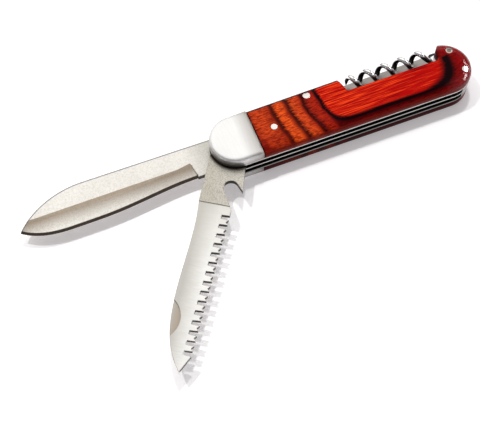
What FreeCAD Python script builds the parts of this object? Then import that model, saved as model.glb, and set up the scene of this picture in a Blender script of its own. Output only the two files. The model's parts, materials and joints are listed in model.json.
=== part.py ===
import FreeCAD, Part
import math
import os

# Folding pocket knife: main blade, saw with a bottle opener, and corkscrew.
# Millimetres. The blade pivot's axis meets the plane the knife lies on at the origin.
# +X runs along the handle to the butt, +Y to its back, +Z from the rear scale to the front.

V = FreeCAD.Vector
UP = V(0, 0, 1)
FAR = 60.0                  # reach of a cutter past everything it trims

# Layers, counted from the rear face that lies on the table
SCALE_T = 4.0               # scales and bolsters
LINER_T = 0.9
BLADE_T = 2.3               # blades and the corkscrew's eye
SIDE_GAP = 0.05             # running gap on each side of a blade

# Handle outline: two round ends joined by tangents
FRONT_R = 10.3
BUTT_R = 10.9
HANDLE_SPAN = 90.3          # between the centres of the rounds
FRONT_RISE = 1.9            # front centre above the pivot axis
BOLSTER_X = 8.0             # joint between bolster and scale
JOINT_GAP = 0.1
FRONT_WALL = 1.8            # straight part of the front scale's side
FRONT_ROUND = 4.5           # width of the front scale's rounded edge
REAR_WALL = 3.1             # the rear scale is flatter
REAR_ROUND = 2.4
BOLSTER_ROUND = 1.1
ROUND_FLATS = 5             # flats across a rounded edge

# Pins
PIN_FIT = 0.02              # radial clearance of a fixed pin
RUN_FIT = 0.04              # radial clearance of a bore that turns
PIVOT_R = 2.2
PIVOT_SEAT = 2.6            # depth of the pivot pin in each bolster
SCALE_PIN_R = 1.3
SCALE_PIN_BACK = 7.9        # behind the bolster joint
SCALE_PIN_Y = 1.2
SPRING_PIN_R = 1.5
SPRING_PIN_AHEAD = 15.9     # ahead of the corkscrew notch
SPRING_PIN_DEPTH = 2.8      # below the handle's back
SCREW_PIN_R = 1.4
SCREW_PIN_RIM = 3.42        # in from the butt round
SCREW_PIN_ANGLE = 52.06     # about the butt round's centre
BUTT_PIN_R = 1.35
BUTT_PIN_RIM = 2.72
BUTT_PIN_ANGLE = -32.52
BUTT_WALL = 1.55            # spring in front of the butt pin

# Back springs and the tangs that run under them
CAM_R = 6.6                 # rounded tang about the pivot
CAM_GAP = 0.05              # between tang and spring
SHOULDER_X = 4.75           # stop on the tang, ahead of the pivot
SPRING_STEP_X = 21.0        # where the spring thickens past the tangs
SPRING_STEP_L = 4.0
SPRING_UNDER = 2.2          # thickness left under the worm
SPRING_TAIL_DROP = 1.6      # underside falls to the butt
SPRING_TAIL_L = 18.0
SPRING_FILLET = 2.0

# Corkscrew notch: deep in the front scale and liner, shallower in the two layers behind
NOTCH_AHEAD = 1.6           # floor starts ahead of the worm's point
NOTCH_GAP = 2.45            # floor under the worm
NOTCH_LEAN = 1.6            # slope of the front wall
NOTCH_FLARE = 2.8           # slope of the wall's upper part at the butt
NOTCH_FLARE_H = 4.2         # where that slope starts, above the floor
NOTCH_FILLET = 1.2
NOTCH_BACK = 5.5            # floor ends this far ahead of the corkscrew pin
DIP_GAP = 1.65              # saw spring and centre liner under the worm
WORM_ROOM = 7.4             # radius about the corkscrew pin that the worm never enters

# Corkscrew
WIRE_R = 1.15
WIRE_SIDES = 7              # flats round the wire
WORM_R = 2.3                # wire centre to worm axis
WORM_PITCH = 8.05
WORM_HALVES = 8             # half turns of full wire
WORM_TIP_HALVES = 1         # half turns that draw in to the point
WORM_TIP_PITCH = 4.95
WORM_TIP_R = 1.5
POINT_R = 0.2
WORM_GAP = 0.45             # between the worm and the main spring behind it
WORM_AHEAD = 9.6            # first turn ahead of the pin
WORM_RISE = 3.3             # worm axis above the pin, there
WORM_SLOPE = 0.4
WORM_PHASE = 100.0          # turn angle of the first point, from the back towards the front
EYE_R = 3.6
EYE_GAP = 0.3               # between eye and saw spring
EYE_DIP_ANGLE = 218.0       # where the eye's hollow leaves the worm's
EYE_DIP_STEP = 1.55         # floor behind the eye, below the pin
NECK_L = 6.3
NECK_TOP = 2.5              # above the pin at the neck's end
NECK_H = 2.3
NECK_ROOT_ANGLE = 240.0     # where the neck's underside meets the eye

# Main blade
MAIN_TIP_GAP = 4.8          # from the tip to the butt wall when folded
MAIN_SPINE_Y = 9.3
MAIN_SPINE_RISE = 0.5       # along the straight back
MAIN_POINT_L = 28.0         # length of the curved back at the point
MAIN_TIP_Y = -2.3
MAIN_BELLY_Y = -7.6
MAIN_FOOT_X = 18.0          # end of the unsharpened root
MAIN_FOOT_Y = -4.6
MAIN_POINT_CURVE = ((0.07, 2.4), (0.168, 0.5), (0.329, 0.0), (0.497, 0.15))  # back from tip, above belly
MAIN_ROOT_CURVE = ((0.308, 1.65), (0.14, 0.4))              # ahead of foot, below it; shares of the edge
GRIND_Y = 2.2               # ends of the line where the bevels start
GRIND_SAG = 2.8
PLUNGE_LEAN = 1.1
EDGE_W = 1.0                # sharpened edge below the bevels
EDGE_T = 0.9                # thickness where it starts
KEEN_T = 0.1                # thickness left at the very edge
LAP = 0.3                   # overlap of neighbouring bevel cuts
NICK_DEPTH = 0.6
MAIN_NICK_X = 52.0
MAIN_NICK_Y = 6.9
MAIN_NICK_L = 13.0
MAIN_NICK_W = 2.2

# Saw
SAW_ANGLE = 56.8            # shown part folded
SAW_TIP_GAP = 1.0
SAW_SPINE_Y = 9.7
SAW_SPINE_CURVE = ((49.0, 0.6), (26.0, 0.0), (12.0, 1.8))  # behind tip, below back
SAW_TIP_Y = 1.7
SAW_THIN = 0.3              # taken off each face past the root
SAW_THIN_X = 25.3
GULLET_PITCH = 4.0          # between the deep gullets
GULLET_W = 1.9
GULLET_DEPTH = 3.1
GULLET_FLOOR = 1.5          # width of a gullet's floor
SPLIT_DEPTH = 0.8           # notch that parts the two points of a tooth
GULLET_FIRST_X = 30.1
GULLET_END_GAP = 7.5        # from the last gullet to the tip
TOOTH_FIRST_Y = -3.2
TOOTH_LAST_Y = -1.4
HOOK_X = 18.0
HOOK_Y = -5.9
HOOK_HEEL_X = 8.5
HOOK_HEEL_Y = -4.9
OPENER_AT = V(17.4, -1.2)
OPENER_R = 3.05
OPENER_ROOT = V(26.4, -3.2)
SAW_NICK_BACK = 19.0        # from the tip
SAW_NICK_Y = 15.1
SAW_NICK_R = 9.4

# Heights and places that follow
SLOT_T = BLADE_T + 2 * SIDE_GAP
Z_REAR_LINER = SCALE_T
Z_MAIN_SLOT = Z_REAR_LINER + LINER_T
Z_CENTER_LINER = Z_MAIN_SLOT + SLOT_T
Z_SAW_SLOT = Z_CENTER_LINER + LINER_T
Z_FRONT_LINER = Z_SAW_SLOT + SLOT_T
Z_FRONT_SCALE = Z_FRONT_LINER + LINER_T
Z_TOP = Z_FRONT_SCALE + SCALE_T
Z_SAW_MID = Z_SAW_SLOT + SLOT_T / 2
Z_WORM = Z_CENTER_LINER + WORM_GAP + WORM_R + WIRE_R

FRONT_CENTER = V(0, FRONT_RISE)
BUTT_CENTER = V(HANDLE_SPAN, FRONT_RISE + BUTT_R - FRONT_R)
AXIS = BUTT_CENTER - FRONT_CENTER
LEAN = math.atan2(AXIS.y, AXIS.x)
HALF_WRAP = math.acos((FRONT_R - BUTT_R) / AXIS.Length)


def polar(center, radius, angle):
    return center + V(math.cos(angle), math.sin(angle)) * radius


SCREW_PIN = polar(BUTT_CENTER, BUTT_R - SCREW_PIN_RIM, math.radians(SCREW_PIN_ANGLE))
BUTT_PIN = polar(BUTT_CENTER, BUTT_R - BUTT_PIN_RIM, math.radians(BUTT_PIN_ANGLE))
SCALE_PIN = V(BOLSTER_X + SCALE_PIN_BACK, SCALE_PIN_Y)
BUTT_WALL_X = BUTT_PIN.x - BUTT_PIN_R - BUTT_WALL
MAIN_REACH = BUTT_WALL_X - MAIN_TIP_GAP
SAW_REACH = BUTT_WALL_X - SAW_TIP_GAP
WORM_L = (WORM_HALVES * WORM_PITCH + WORM_TIP_HALVES * WORM_TIP_PITCH) / 2
NOTCH_END_X = SCREW_PIN.x - NOTCH_BACK
NOTCH_START_X = SCREW_PIN.x - WORM_AHEAD - WORM_L - NOTCH_AHEAD
SPRING_PIN_X = NOTCH_START_X - SPRING_PIN_AHEAD
WORM_LOW_Y = SCREW_PIN.y + WORM_RISE - WORM_R - WIRE_R
NOTCH_FLOOR_Y = WORM_LOW_Y - NOTCH_GAP
NOTCH_FLARE_Y = NOTCH_FLOOR_Y + NOTCH_FLARE_H
DIP_Y = WORM_LOW_Y - DIP_GAP
SPRING_BELLY_Y = DIP_Y - SPRING_UNDER
SPRING_TAIL_Y = SPRING_BELLY_Y - SPRING_TAIL_DROP


def back_y(x):
    """Height of the handle's back at x."""
    start = polar(FRONT_CENTER, FRONT_R, LEAN + HALF_WRAP)
    return start.y + (x - start.x) * math.tan(LEAN + HALF_WRAP - math.pi / 2)


SPRING_PIN = V(SPRING_PIN_X, back_y(SPRING_PIN_X) - SPRING_PIN_DEPTH)


# Drawing helpers

def line(a, b):
    return Part.LineSegment(a, b).toShape()


def arc(a, mid, b):
    return Part.Arc(a, mid, b).toShape()


def curve(points):
    spline = Part.BSplineCurve()
    spline.interpolate(points)
    return spline.toShape()


def prism(wire, z0, z1):
    """Upright solid over a closed wire drawn at z = 0."""
    face = Part.Face(wire)
    face.translate(UP * z0)
    return face.extrude(UP * (z1 - z0))


def disc(at, radius, z0, z1):
    return Part.makeCylinder(radius, z1 - z0, V(at.x, at.y, z0))


def slab(x0, x1):
    """Block across the whole handle between two x places."""
    return Part.makeBox(x1 - x0, 2 * FAR, 2 * FAR, V(x0, -FAR, -FAR))


def flip(shape):
    """The same piece on the handle's other side."""
    return shape.mirror(V(0, 0, Z_TOP / 2), UP)


def rounded(corners):
    """Closed wire at z = 0 through (x, y, radius) corners with tangent arcs."""
    legs = []
    for i, (x, y, radius) in enumerate(corners):
        here = V(x, y)
        last = corners[i - 1]
        following = corners[(i + 1) % len(corners)]
        to_last = (V(last[0], last[1]) - here).normalize()
        to_next = (V(following[0], following[1]) - here).normalize()
        half = to_last.getAngle(to_next) / 2
        set_back = radius / math.tan(half)
        middle = here + (to_last + to_next).normalize() * (radius / math.sin(half) - radius)
        legs.append((here + to_last * set_back, middle, here + to_next * set_back))
    edges = []
    for i, (start, middle, end) in enumerate(legs):
        if corners[i][2] > 0:
            edges.append(arc(start, middle, end))
        edges.append(line(end, legs[(i + 1) % len(legs)][0]))
    return Part.Wire(edges)


def touch_point(point, center, radius, side):
    """Where a line from the point touches a circle, on the left (1) or right (-1)."""
    way = center - point
    turn = math.asin(radius / way.Length)
    length = math.sqrt(way.Length ** 2 - radius ** 2)
    return polar(point, length, math.atan2(way.y, way.x) + side * turn)


def handle_wire(inset, z):
    """Outline of the handle, drawn in by an inset, at height z."""
    low, mid, high = LEAN - HALF_WRAP, LEAN, LEAN + HALF_WRAP
    butt = BUTT_R - inset
    front = FRONT_R - inset
    edges = []
    for center, radius, angles in ((BUTT_CENTER, butt, (low, mid, high)),
                                   (FRONT_CENTER, front, (high, mid + math.pi, low + 2 * math.pi))):
        for a, b in zip(angles, angles[1:]):
            edges.append(arc(*(polar(center, radius, t) for t in (a, (a + b) / 2, b))))
    edges.insert(2, line(polar(BUTT_CENTER, butt, high), polar(FRONT_CENTER, front, high)))
    edges.append(line(polar(FRONT_CENTER, front, low), polar(BUTT_CENTER, butt, low)))
    wire = Part.Wire(edges)
    wire.translate(UP * z)
    return wire


# Handle pieces

def cover(wall, width):
    """Slab on the handle's front side, its upper edge rounded in flats along an ellipse."""
    drop = SCALE_T - wall
    base = prism(handle_wire(0, 0), Z_FRONT_SCALE, Z_FRONT_SCALE + wall)
    sections = []
    for i in range(ROUND_FLATS + 1):
        angle = math.pi / 2 * i / ROUND_FLATS
        z = Z_FRONT_SCALE + wall + drop * math.sin(angle)
        sections.append(handle_wire(width * (1 - math.cos(angle)), z))
    return base.fuse(Part.makeLoft(sections, True, True)).removeSplitter()


def notch():
    """Corkscrew notch of the front scale and liner, open at the handle's back."""
    top = 2 * BUTT_R
    rise = (top - NOTCH_FLOOR_Y) / (back_y(NOTCH_START_X) - NOTCH_FLOOR_Y)
    flare = (top - NOTCH_FLARE_Y) / (back_y(NOTCH_END_X) - NOTCH_FLARE_Y)
    wire = rounded([(NOTCH_START_X - NOTCH_LEAN * rise, top, 0),
                    (NOTCH_START_X, NOTCH_FLOOR_Y, NOTCH_FILLET),
                    (NOTCH_END_X, NOTCH_FLOOR_Y, NOTCH_FILLET),
                    (NOTCH_END_X, NOTCH_FLARE_Y, NOTCH_FILLET),
                    (NOTCH_END_X + NOTCH_FLARE * flare, top, 0)])
    return prism(wire, -FAR, FAR)


def worm_dip():
    """Hollow under the worm in the centre liner, up to the worm's path round its pin."""
    top = 2 * BUTT_R
    wire = rounded([(NOTCH_START_X - NOTCH_LEAN, top, 0),
                    (NOTCH_START_X, DIP_Y, NOTCH_FILLET),
                    (SCREW_PIN.x, DIP_Y, 0),
                    (SCREW_PIN.x, top, 0)])
    return prism(wire, -FAR, FAR).cut(disc(SCREW_PIN, WORM_ROOM, -FAR, FAR))


def eye_dip():
    """Hollow for the worm and for the corkscrew's eye and neck in the saw's layer."""
    top = 2 * BUTT_R
    relief = EYE_R + EYE_GAP
    low = polar(SCREW_PIN, relief, math.radians(EYE_DIP_ANGLE))
    step = SCREW_PIN.y - EYE_DIP_STEP
    wire = rounded([(NOTCH_START_X - NOTCH_LEAN, top, 0),
                    (NOTCH_START_X, DIP_Y, NOTCH_FILLET),
                    (SCREW_PIN.x - WORM_ROOM, DIP_Y, 0),
                    (low.x, low.y, 0),
                    (SCREW_PIN.x, step, 0),
                    (SCREW_PIN.x + FAR, step, 0),
                    (SCREW_PIN.x + FAR, top, 0)])
    return prism(wire, -FAR, FAR).fuse(disc(SCREW_PIN, relief, -FAR, FAR))


def fixed_holes(places):
    """Holes for fixed pins, from (place, radius) pairs, through every layer."""
    return [disc(at, radius + PIN_FIT, -FAR, FAR) for at, radius in places]


THROUGH_PINS = [(SPRING_PIN, SPRING_PIN_R), (SCREW_PIN, SCREW_PIN_R), (BUTT_PIN, BUTT_PIN_R)]
SCALE_PINS = [(SCALE_PIN, SCALE_PIN_R)]


def scale(wall, width):
    """Wooden scale drawn on the front side, before any notch."""
    whole = cover(wall, width)
    cut_back = whole.common(slab(BOLSTER_X + JOINT_GAP, BOLSTER_X + FAR + HANDLE_SPAN))
    return cut_back.cut(fixed_holes(THROUGH_PINS + SCALE_PINS))


def bolster():
    """Steel bolster on the front side, with a blind seat for the pivot."""
    whole = cover(SCALE_T - BOLSTER_ROUND, BOLSTER_ROUND).common(slab(-FAR, BOLSTER_X))
    return whole.cut(disc(V(), PIVOT_R + PIN_FIT, Z_FRONT_SCALE, Z_FRONT_SCALE + PIVOT_SEAT))


def liner(z):
    """Sheet liner of the full outline, with the holes every liner has."""
    sheet = prism(handle_wire(0, 0), z, z + LINER_T)
    return sheet.cut(fixed_holes(THROUGH_PINS + [(V(), PIVOT_R)]))


def outer_liner(z):
    """Liner that also carries the front of a scale."""
    return liner(z).cut(fixed_holes(SCALE_PINS))


def back_spring(z, cuts):
    """Back spring: flush with the back, over the tangs, and hooked down at the butt."""
    under = CAM_R + CAM_GAP
    nose = CAM_GAP - SHOULDER_X
    step_end = SPRING_STEP_X + SPRING_STEP_L
    far_x = HANDLE_SPAN + FAR
    wire = rounded([(nose, under, 0),
                    (SPRING_STEP_X, under, SPRING_FILLET),
                    (step_end, SPRING_BELLY_Y, SPRING_FILLET),
                    (BUTT_WALL_X - SPRING_TAIL_L, SPRING_BELLY_Y, SPRING_FILLET),
                    (BUTT_WALL_X, SPRING_TAIL_Y, SPRING_FILLET),
                    (BUTT_WALL_X, -FAR, 0),
                    (far_x, -FAR, 0),
                    (far_x, FAR, 0),
                    (nose, FAR, 0)])
    body = prism(handle_wire(0, 0), z, z + SLOT_T).common(prism(wire, z, z + SLOT_T))
    return body.cut(cuts)


def flush_pins():
    """Through pins and scale pins, dressed flush with the rounded scales."""
    front = cover(FRONT_WALL, FRONT_ROUND)
    rear = flip(cover(REAR_WALL, REAR_ROUND))
    middle = prism(handle_wire(0, 0), Z_REAR_LINER, Z_FRONT_SCALE)
    body = middle.fuse([front, rear])
    names = ("spring_pin", "corkscrew_pin", "butt_pin")
    pins = {}
    for name, (at, radius) in zip(names, THROUGH_PINS):
        pins[name] = disc(at, radius, 0, Z_TOP).common(body)
    short = disc(SCALE_PIN, SCALE_PIN_R, Z_FRONT_LINER, Z_TOP)
    pins["front_scale_pin"] = short.common(body)
    pins["rear_scale_pin"] = flip(short).common(body)
    return pins


# Blades, drawn open: u runs from the pivot to the tip (-X), v to the back (+Y)

def blade_point(u, v, z=0.0):
    return V(-u, v, z)


def tang_edges(foot_y):
    """Outline of a tang from the foot of the root, round the cam, to the shoulder."""
    foot_u = math.sqrt(CAM_R ** 2 - foot_y ** 2)
    foot = blade_point(foot_u, foot_y)
    flat = blade_point(0, CAM_R)
    return foot, [arc(foot, blade_point(-CAM_R, 0), flat), line(flat, blade_point(SHOULDER_X, CAM_R))]


def nick(u, v, length, width, z0, z1):
    """Nail nick: a flat upper side and an arched lower side."""
    a = blade_point(u - length / 2, v)
    b = blade_point(u + length / 2, v)
    wire = Part.Wire([line(a, b), arc(b, blade_point(u, v - width), a)])
    return prism(wire, z0, z1)


def main_edge_points(inside, z):
    """Cutting edge from the tip back to the root, moved in by some width."""
    length = MAIN_REACH - MAIN_FOOT_X
    stations = [(MAIN_REACH, MAIN_TIP_Y)]
    stations += [(MAIN_REACH - s * length, MAIN_BELLY_Y + v) for s, v in MAIN_POINT_CURVE]
    stations += [(MAIN_FOOT_X + s * length, MAIN_FOOT_Y - v) for s, v in MAIN_ROOT_CURVE]
    stations.append((MAIN_FOOT_X, MAIN_FOOT_Y))
    return [blade_point(u, v + inside, z) for u, v in stations]


def main_bevels(z0):
    """Cutters for both faces: a bevel below the grind line and a steeper edge below that."""
    middle = z0 + BLADE_T / 2
    plunge_u = MAIN_FOOT_X + PLUNGE_LEAN
    steepness = (EDGE_T - KEEN_T) / 2 / EDGE_W
    cutters = []
    for side in (1, -1):
        face_z = middle + side * BLADE_T / 2
        grind = arc(blade_point(MAIN_REACH, GRIND_Y, face_z),
                    blade_point((MAIN_REACH + plunge_u) / 2, GRIND_Y - GRIND_SAG, face_z),
                    blade_point(plunge_u, GRIND_Y, face_z))
        bevel_end = curve(main_edge_points(EDGE_W - LAP, middle + side * EDGE_T / 2))
        upper = curve(main_edge_points(EDGE_W + LAP, middle + side * (EDGE_T / 2 + steepness * LAP)))
        lower = curve(main_edge_points(-LAP, middle + side * (KEEN_T / 2 - steepness * LAP)))
        for top, bottom in ((grind, bevel_end), (upper, lower)):
            cutters.append(Part.makeRuledSurface(top, bottom).extrude(UP * (side * BLADE_T)))
    return cutters


def main_blade():
    z0 = Z_MAIN_SLOT + SIDE_GAP
    foot, tang = tang_edges(MAIN_FOOT_Y)
    spine_end = MAIN_SPINE_Y + MAIN_SPINE_RISE
    fall = spine_end - MAIN_TIP_Y
    bend = (MAIN_POINT_L ** 2 + fall ** 2) / (2 * fall)
    half_turn = math.asin(MAIN_POINT_L / bend) / 2
    bend_u = MAIN_REACH - MAIN_POINT_L
    bend_mid = blade_point(bend_u + bend * math.sin(half_turn),
                           spine_end - bend * (1 - math.cos(half_turn)))
    tip = blade_point(MAIN_REACH, MAIN_TIP_Y)
    edge_points = main_edge_points(0, 0)
    outline = [line(blade_point(SHOULDER_X, CAM_R), blade_point(SHOULDER_X, MAIN_SPINE_Y)),
               line(blade_point(SHOULDER_X, MAIN_SPINE_Y), blade_point(bend_u, spine_end)),
               arc(blade_point(bend_u, spine_end), bend_mid, tip),
               curve(edge_points),
               line(edge_points[-1], foot)] + tang
    blade = prism(Part.Wire(outline), z0, z0 + BLADE_T)
    bore = disc(V(), PIVOT_R + RUN_FIT, -FAR, FAR)
    pull = nick(MAIN_NICK_X, MAIN_NICK_Y, MAIN_NICK_L, MAIN_NICK_W, z0 - NICK_DEPTH, z0 + NICK_DEPTH)
    return blade.cut(main_bevels(z0) + [bore, pull])


def saw_teeth():
    """Corners of the toothed edge, from the end of the saw back to its root."""
    length = SAW_REACH - GULLET_END_GAP - GULLET_FIRST_X
    count = round(length / GULLET_PITCH)
    pitch = length / count
    slope = (TOOTH_LAST_Y - TOOTH_FIRST_Y) / length
    shape = ((GULLET_W / 2, 0), (GULLET_FLOOR / 2, GULLET_DEPTH), (-GULLET_FLOOR / 2, GULLET_DEPTH),
             (-GULLET_W / 2, 0), (-pitch / 2, SPLIT_DEPTH))
    corners = []
    for i in range(count, -1, -1):
        for du, depth in shape[:4] if i == 0 else shape:
            along = i * pitch + du
            corners.append(blade_point(GULLET_FIRST_X + along, TOOTH_FIRST_Y + slope * along + depth))
    return corners


def saw_root_edges(first_tooth, foot):
    """Bottle opener between the teeth and the tang: a round mouth under a hook."""
    hook = V(HOOK_X, HOOK_Y)
    near = touch_point(hook, OPENER_AT, OPENER_R, 1)
    off = touch_point(OPENER_ROOT, OPENER_AT, OPENER_R, -1)
    inward = ((near - OPENER_AT) + (off - OPENER_AT)).normalize()
    mouth = [blade_point(p.x, p.y) for p in (off, OPENER_AT + inward * OPENER_R, near)]
    root = blade_point(OPENER_ROOT.x, OPENER_ROOT.y)
    heel = blade_point(HOOK_HEEL_X, HOOK_HEEL_Y)
    tip = blade_point(HOOK_X, HOOK_Y)
    return [line(first_tooth, root), line(root, mouth[0]), arc(*mouth), line(mouth[2], tip),
            line(tip, heel), line(heel, foot)]


def saw_blade():
    z0 = Z_SAW_SLOT + SIDE_GAP
    z1 = z0 + BLADE_T
    foot, tang = tang_edges(HOOK_HEEL_Y)
    spine = [blade_point(SAW_THIN_X, SAW_SPINE_Y)]
    spine += [blade_point(SAW_REACH - u, SAW_SPINE_Y - v) for u, v in SAW_SPINE_CURVE]
    spine.append(blade_point(SAW_REACH, SAW_TIP_Y))
    teeth = saw_teeth()
    shoulder = blade_point(SHOULDER_X, CAM_R)
    corner = blade_point(SHOULDER_X, SAW_SPINE_Y)
    outline = [line(shoulder, corner), line(corner, spine[0]), curve(spine)]
    outline.append(line(spine[-1], teeth[0]))
    outline += [line(a, b) for a, b in zip(teeth, teeth[1:])]
    outline += saw_root_edges(teeth[-1], foot) + tang
    blade = prism(Part.Wire(outline), z0, z1)
    thin = slab(-SAW_REACH - FAR, -SAW_THIN_X)
    low = thin.common(Part.makeBox(4 * FAR, 2 * FAR, FAR, V(-3 * FAR, -FAR, z0 + SAW_THIN - FAR)))
    high = thin.common(Part.makeBox(4 * FAR, 2 * FAR, FAR, V(-3 * FAR, -FAR, z1 - SAW_THIN)))
    bore = disc(V(), PIVOT_R + RUN_FIT, -FAR, FAR)
    pull = disc(blade_point(SAW_REACH - SAW_NICK_BACK, SAW_NICK_Y), SAW_NICK_R,
                z1 - SAW_THIN - NICK_DEPTH, z1)
    blade = blade.cut([low, high, bore, pull])
    blade.rotate(V(), UP, SAW_ANGLE)
    return blade


# Corkscrew

def worm_point(turn, radius, along):
    """Point of the worm at a turn angle, a radius and a length along its axis."""
    slope = math.radians(WORM_SLOPE)
    way = V(-math.cos(slope), -math.sin(slope))
    out = V(-way.y, way.x) * -1
    start = SCREW_PIN + V(-WORM_AHEAD, WORM_RISE, Z_WORM)
    return start + way * along + out * (radius * math.cos(turn)) + UP * (radius * math.sin(turn))


def worm_path(halves):
    """Worm's centre line after a number of half turns from the eye."""
    turn = math.radians(WORM_PHASE) - halves * math.pi
    past = max(0.0, halves - WORM_HALVES)
    radius = WORM_R + (WORM_TIP_R - WORM_R) * past / WORM_TIP_HALVES
    along = (halves - past) * WORM_PITCH / 2 + past * WORM_TIP_PITCH / 2
    return worm_point(turn, radius, along)


def worm_tangent(halves):
    small = 1e-4
    return (worm_path(halves + small) - worm_path(halves - small)).normalize()


def bend_arc(a, knee, b):
    """Arc from a to b, tangent to the lines that meet at the knee."""
    middle = (a + b) * 0.5
    reach = (a - knee).Length
    half = (b - a).Length / 2
    depth = (middle - knee).Length
    return arc(a, knee + (middle - knee) * (reach * (reach - half) / depth ** 2), b), reach * half / depth


def biarc(p0, t0, p1, t1):
    """Two tangent arcs from one point and direction to another, with the smaller radius."""
    chord = p1 - p0
    both = t0 + t1
    a = 4 - both.dot(both)
    b = chord.dot(both)
    reach = (math.sqrt(b * b + a * chord.dot(chord)) - b) / a
    knee0 = p0 + t0 * reach
    knee1 = p1 - t1 * reach
    join = (knee0 + knee1) * 0.5
    first, radius0 = bend_arc(p0, knee0, join)
    second, radius1 = bend_arc(join, knee1, p1)
    return [first, second], min(radius0, radius1)


def worm_edges(first, last):
    edges = []
    for half in range(first, last):
        pair, _ = biarc(worm_path(half), worm_tangent(half), worm_path(half + 1), worm_tangent(half + 1))
        edges += pair
    return edges


def wire_section(at, way):
    """Ring of short flats across the wire, which runs level there."""
    across = way.cross(UP)
    angles = [2 * math.pi * i / WIRE_SIDES for i in range(WIRE_SIDES)]
    corners = [at + (across * math.cos(t) + UP * math.sin(t)) * WIRE_R for t in angles]
    return Part.makePolygon(corners + corners[:1])


def sweep(edges, sections):
    """Solid swept along a path through its sections, and the section it ends on."""
    shell = Part.BRepOffsetAPI.MakePipeShell(Part.Wire(edges))
    for section in sections:
        shell.add(section)
    shell.build()
    last = shell.lastShape()
    shell.makeSolid()
    return shell.shape(), last


def corkscrew():
    """Worm and eye of one piece: the wire runs from the neck into its turns and a point."""
    neck_end = SCREW_PIN + V(-NECK_L, NECK_TOP - NECK_H / 2, Z_SAW_MID)
    ahead = V(-1, 0)
    tail, tail_radius = biarc(neck_end, ahead, worm_path(0), worm_tangent(0))
    root = neck_end - ahead * WIRE_R
    turns, full = sweep([line(root, neck_end)] + tail + worm_edges(0, WORM_HALVES),
                        [wire_section(root, ahead)])
    end = WORM_HALVES + WORM_TIP_HALVES
    tip_edges = worm_edges(WORM_HALVES, end)
    _, fine = sweep(tip_edges, [full])
    fine.scale(POINT_R / WIRE_R, worm_path(end))
    point, _ = sweep(tip_edges, [full, fine])
    z0 = Z_SAW_SLOT + SIDE_GAP
    neck_root = polar(SCREW_PIN, EYE_R, math.radians(NECK_ROOT_ANGLE))
    neck = rounded([(SCREW_PIN.x, SCREW_PIN.y + EYE_R, 0),
                    (neck_end.x, SCREW_PIN.y + NECK_TOP, 0),
                    (neck_end.x, SCREW_PIN.y + NECK_TOP - NECK_H, 0),
                    (neck_root.x, neck_root.y, 0)])
    eye = disc(SCREW_PIN, EYE_R, z0, z0 + BLADE_T).fuse(prism(neck, z0, z0 + BLADE_T))
    eye = eye.cut(disc(SCREW_PIN, SCREW_PIN_R + RUN_FIT, -FAR, FAR))
    print("corkscrew: least bend at the neck %.2f mm" % tail_radius)
    return eye.fuse([turns, point]).removeSplitter()


def worm_gap():
    """Least free gap between neighbouring turns, measured on points of the centre line."""
    per_half = 32
    count = (WORM_HALVES + WORM_TIP_HALVES) * per_half
    points = [worm_path(i / per_half) for i in range(count + 1)]
    apart = per_half
    nearest = min((points[i] - points[j]).Length
                  for i in range(count + 1) for j in range(i + apart, count + 1))
    return nearest - 2 * WIRE_R


def export(name, shape):
    """Write one node as one solid."""
    solid, = shape.Solids
    solid.exportStep("parts/%s.step" % name)
    box = solid.BoundBox
    print("%-16s valid %s volume %8.2f  x %7.2f %7.2f  y %7.2f %7.2f  z %6.2f %6.2f"
          % (name, solid.isValid(), solid.Volume,
             box.XMin, box.XMax, box.YMin, box.YMax, box.ZMin, box.ZMax))


def build():
    front_notch = notch()
    plain_bolster = bolster()
    saw_spring_pins = [(SPRING_PIN, SPRING_PIN_R), (BUTT_PIN, BUTT_PIN_R)]
    nodes = {
        "front_scale": scale(FRONT_WALL, FRONT_ROUND).cut(front_notch),
        "rear_scale": flip(scale(REAR_WALL, REAR_ROUND)),
        "front_bolster": plain_bolster,
        "rear_bolster": flip(plain_bolster),
        "front_liner": outer_liner(Z_FRONT_LINER).cut(front_notch),
        "center_liner": liner(Z_CENTER_LINER).cut(worm_dip()),
        "rear_liner": outer_liner(Z_REAR_LINER),
        "main_spring": back_spring(Z_MAIN_SLOT, fixed_holes(THROUGH_PINS)),
        "saw_spring": back_spring(Z_SAW_SLOT, [eye_dip()] + fixed_holes(saw_spring_pins)),
        "blade_pivot_pin": disc(V(), PIVOT_R, SCALE_T - PIVOT_SEAT, Z_FRONT_SCALE + PIVOT_SEAT),
        "main_blade": main_blade(),
        "saw_blade": saw_blade(),
        "corkscrew": corkscrew(),
    }
    nodes.update(flush_pins())
    os.makedirs("parts", exist_ok=True)
    for name, shape in nodes.items():
        export(name, shape)
    print("corkscrew: least gap between turns %.2f mm" % worm_gap())


build()
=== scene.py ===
# %% [markdown]
# A folding pocket knife lies on a white table with its main blade open, its saw part open and
# its corkscrew folded into the back of the handle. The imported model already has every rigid
# piece in its place, so this lesson is mostly about finishes: satin and brushed steel,
# lacquered wood in layers, and bright chrome. Lengths in the model are metres.

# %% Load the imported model
import json
import math

import bpy
from mathutils import Matrix, Vector

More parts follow.
